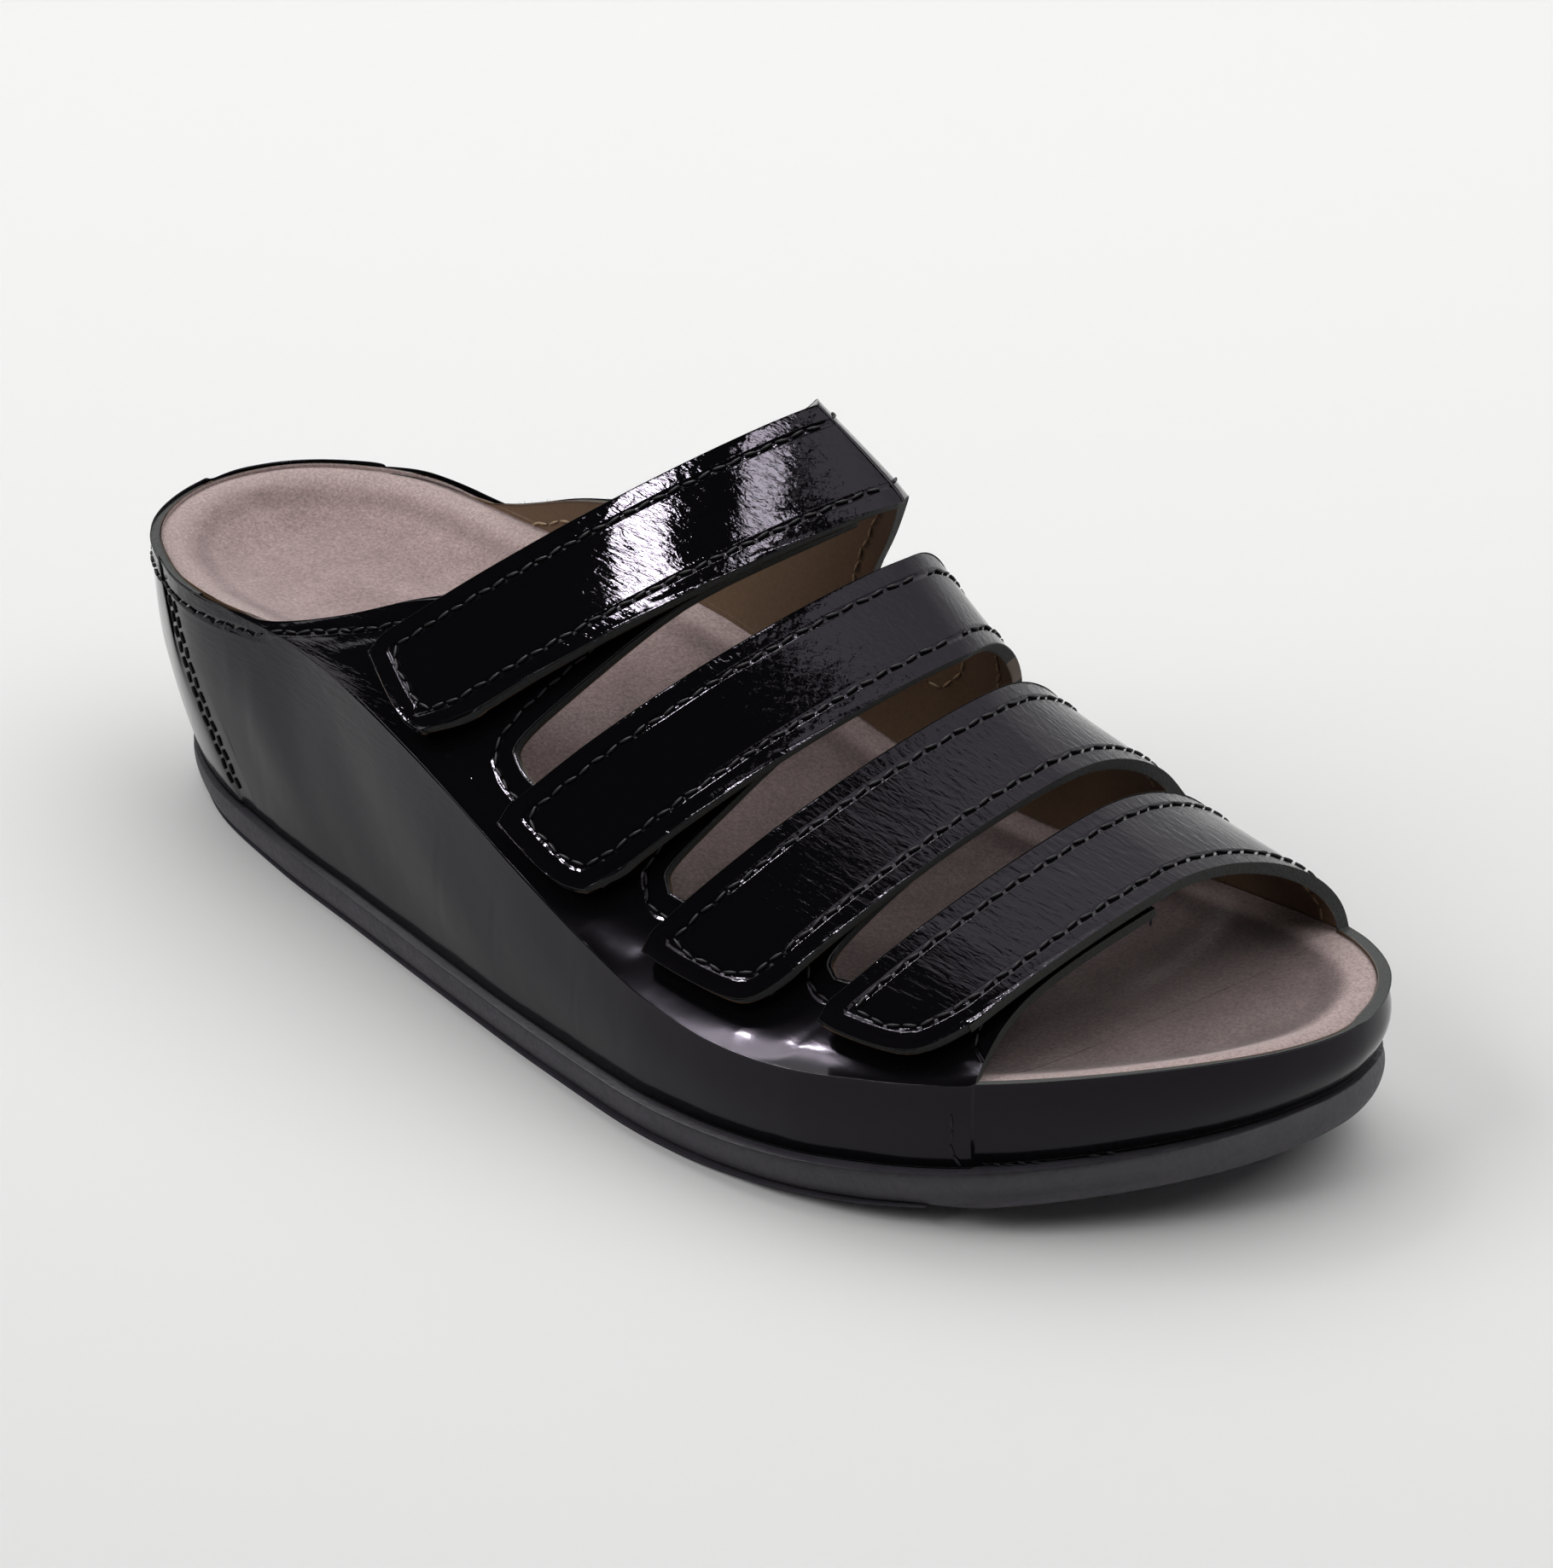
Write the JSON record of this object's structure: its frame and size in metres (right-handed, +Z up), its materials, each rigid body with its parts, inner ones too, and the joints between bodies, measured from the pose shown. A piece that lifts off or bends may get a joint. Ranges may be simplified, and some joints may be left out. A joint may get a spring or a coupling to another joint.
{
  "type": "orthopedic shoe",
  "caption": "Right-foot orthopedic wedge slide, open at toe and heel, with padded footbed, rubber outsole and a leather upper whose straps fasten with hook and loop tape.",
  "frame": {"origin": "on the floor, under the middle of the shoe's bounding box", "axes": "+X to the toe, +Y to the medial side, +Z up"},
  "size_m": [0.2614, 0.098, 0.0995],
  "materials": {
    "outsole": "matte black rubber with a fine moulded grain",
    "footbed": "taupe suede with a short brushed nap",
    "upper": "black patent leather, creased across the straps",
    "tape": "black woven hook and loop pile"
  },
  "bodies": {
    "root": {"outsole": "outsole", "footbed": "footbed", "upper": "upper", "loop_pad_1": "tape", "hook_pad_1": "tape", "loop_pad_2": "tape", "hook_pad_2": "tape", "loop_pad_3": "tape", "hook_pad_3": "tape", "loop_pad_4": "tape", "hook_pad_4": "tape"}
  },
  "joints": []
}
